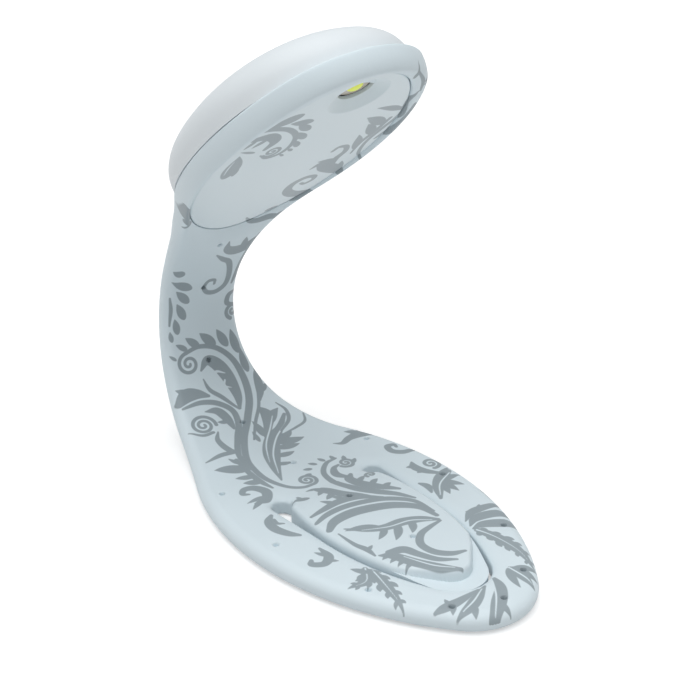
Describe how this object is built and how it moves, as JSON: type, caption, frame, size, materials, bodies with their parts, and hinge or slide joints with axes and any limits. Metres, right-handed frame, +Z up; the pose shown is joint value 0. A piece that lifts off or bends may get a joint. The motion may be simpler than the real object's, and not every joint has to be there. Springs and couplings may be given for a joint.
{
  "type": "book light",
  "caption": "Slim clip-on book light: bendable soft neck between a leaf-tongue page clip and an oval head with one LED, push button and coin-cell housing.",
  "frame": {"origin": "on the underside of the base, on its centreline, at the solid web between the clip's slots and the neck", "axes": "+X from the neck towards the clip's tip, +Y across, +Z up from the ground"},
  "size_m": [0.0934, 0.047, 0.0884],
  "materials": {
    "soft_rubber": "matt pale blue-grey silicone-like rubber with a grey damask print",
    "panel_plastic": "smooth matt panel with a grey damask print",
    "housing_plastic": "soft-touch matt shell",
    "button_plastic": "matt",
    "spring_steel": "plain strip",
    "screw_steel": "zinc plated",
    "tinned_wire": "tinned",
    "cell_steel": "nickel plated can",
    "board": "solder mask",
    "dark_plastic": "moulded",
    "frame_plastic": "moulded",
    "led_clear": "clear epoxy",
    "phosphor": "yellow-green phosphor, unlit"
  },
  "bodies": {
    "base": {"base_cover": "soft_rubber", "base_core": "spring_steel"},
    "tongue": {"clip_tongue": "soft_rubber", "tongue_core": "spring_steel"},
    "link_1": {"neck_link_1": "soft_rubber", "spine_link_1": "spring_steel"},
    "link_2": {"neck_link_2": "soft_rubber", "spine_link_2": "spring_steel"},
    "link_3": {"neck_link_3": "soft_rubber", "spine_link_3": "spring_steel"},
    "link_4": {"neck_link_4": "soft_rubber", "spine_link_4": "spring_steel"},
    "link_5": {"neck_link_5": "soft_rubber", "spine_link_5": "spring_steel"},
    "link_6": {"neck_link_6": "soft_rubber", "spine_link_6": "spring_steel"},
    "head": {"head_rim": "soft_rubber", "head_tang": "spring_steel", "front_panel": "panel_plastic", "led_body": "led_clear", "led_phosphor": "phosphor", "led_leads": "tinned_wire", "circuit_board": "board", "resistor": "dark_plastic", "tact_switch": "dark_plastic", "inner_frame": "frame_plastic", "coin_cell_outer": "cell_steel", "coin_cell_inner": "cell_steel", "contact_negative": "tinned_wire", "contact_positive": "tinned_wire", "rear_housing": "housing_plastic", "housing_screws": "screw_steel"},
    "door": {"battery_door": "housing_plastic", "door_screw": "screw_steel"},
    "button": {"power_button": "button_plastic"}
  },
  "joints": [
    {"name": "neck_bend", "type": "hinge", "parent": "base", "child": "link_1", "pos_m": [-0.01616, 0, 0.00243], "axis": [0, 1, 0], "range_deg": [-20, 5.7]},
    {"name": "neck_bend_2", "type": "hinge", "parent": "link_1", "child": "link_2", "pos_m": [-0.02646, 0, 0.00585], "axis": [0, 1, 0], "range_deg": [-20, 5.7]},
    {"name": "neck_bend_3", "type": "hinge", "parent": "link_2", "child": "link_3", "pos_m": [-0.03189, 0, 0.01037], "axis": [0, 1, 0], "range_deg": [-20, 5.7]},
    {"name": "neck_bend_4", "type": "hinge", "parent": "link_3", "child": "link_4", "pos_m": [-0.03533, 0, 0.01637], "axis": [0, 1, 0], "range_deg": [-20, 5.7]},
    {"name": "neck_bend_5", "type": "hinge", "parent": "link_4", "child": "link_5", "pos_m": [-0.03659, 0, 0.02372], "axis": [0, 1, 0], "range_deg": [-20, 5.7]},
    {"name": "neck_bend_6", "type": "hinge", "parent": "link_5", "child": "link_6", "pos_m": [-0.03507, 0, 0.03204], "axis": [0, 1, 0], "range_deg": [-20, 5.7]},
    {"name": "neck_bend_7", "type": "hinge", "parent": "link_6", "child": "head", "pos_m": [-0.02817, 0, 0.04328], "axis": [0, 1, 0], "range_deg": [-20, 5.7]},
    {"name": "tongue_flex", "type": "hinge", "parent": "base", "child": "tongue", "pos_m": [0.0066, 0, 0.0018], "axis": [0, -1, 0], "range_deg": [-8, 25], "stiffness_Nm_per_rad": 0.05},
    {"name": "battery_door_lift", "type": "slide", "parent": "head", "child": "door", "axis": [-0.6428, 0, 0.766], "range_m": [0, 0.012]},
    {"name": "button_press", "type": "slide", "parent": "head", "child": "button", "axis": [0.6428, 0, -0.766], "range_m": [0, 0.0004], "stiffness_N_per_m": 500}
  ],
  "couplings": [
    {"joint": "neck_bend_2", "follows": "neck_bend", "ratio": 1},
    {"joint": "neck_bend_3", "follows": "neck_bend", "ratio": 1},
    {"joint": "neck_bend_4", "follows": "neck_bend", "ratio": 1},
    {"joint": "neck_bend_5", "follows": "neck_bend", "ratio": 1},
    {"joint": "neck_bend_6", "follows": "neck_bend", "ratio": 1},
    {"joint": "neck_bend_7", "follows": "neck_bend", "ratio": 1}
  ]
}
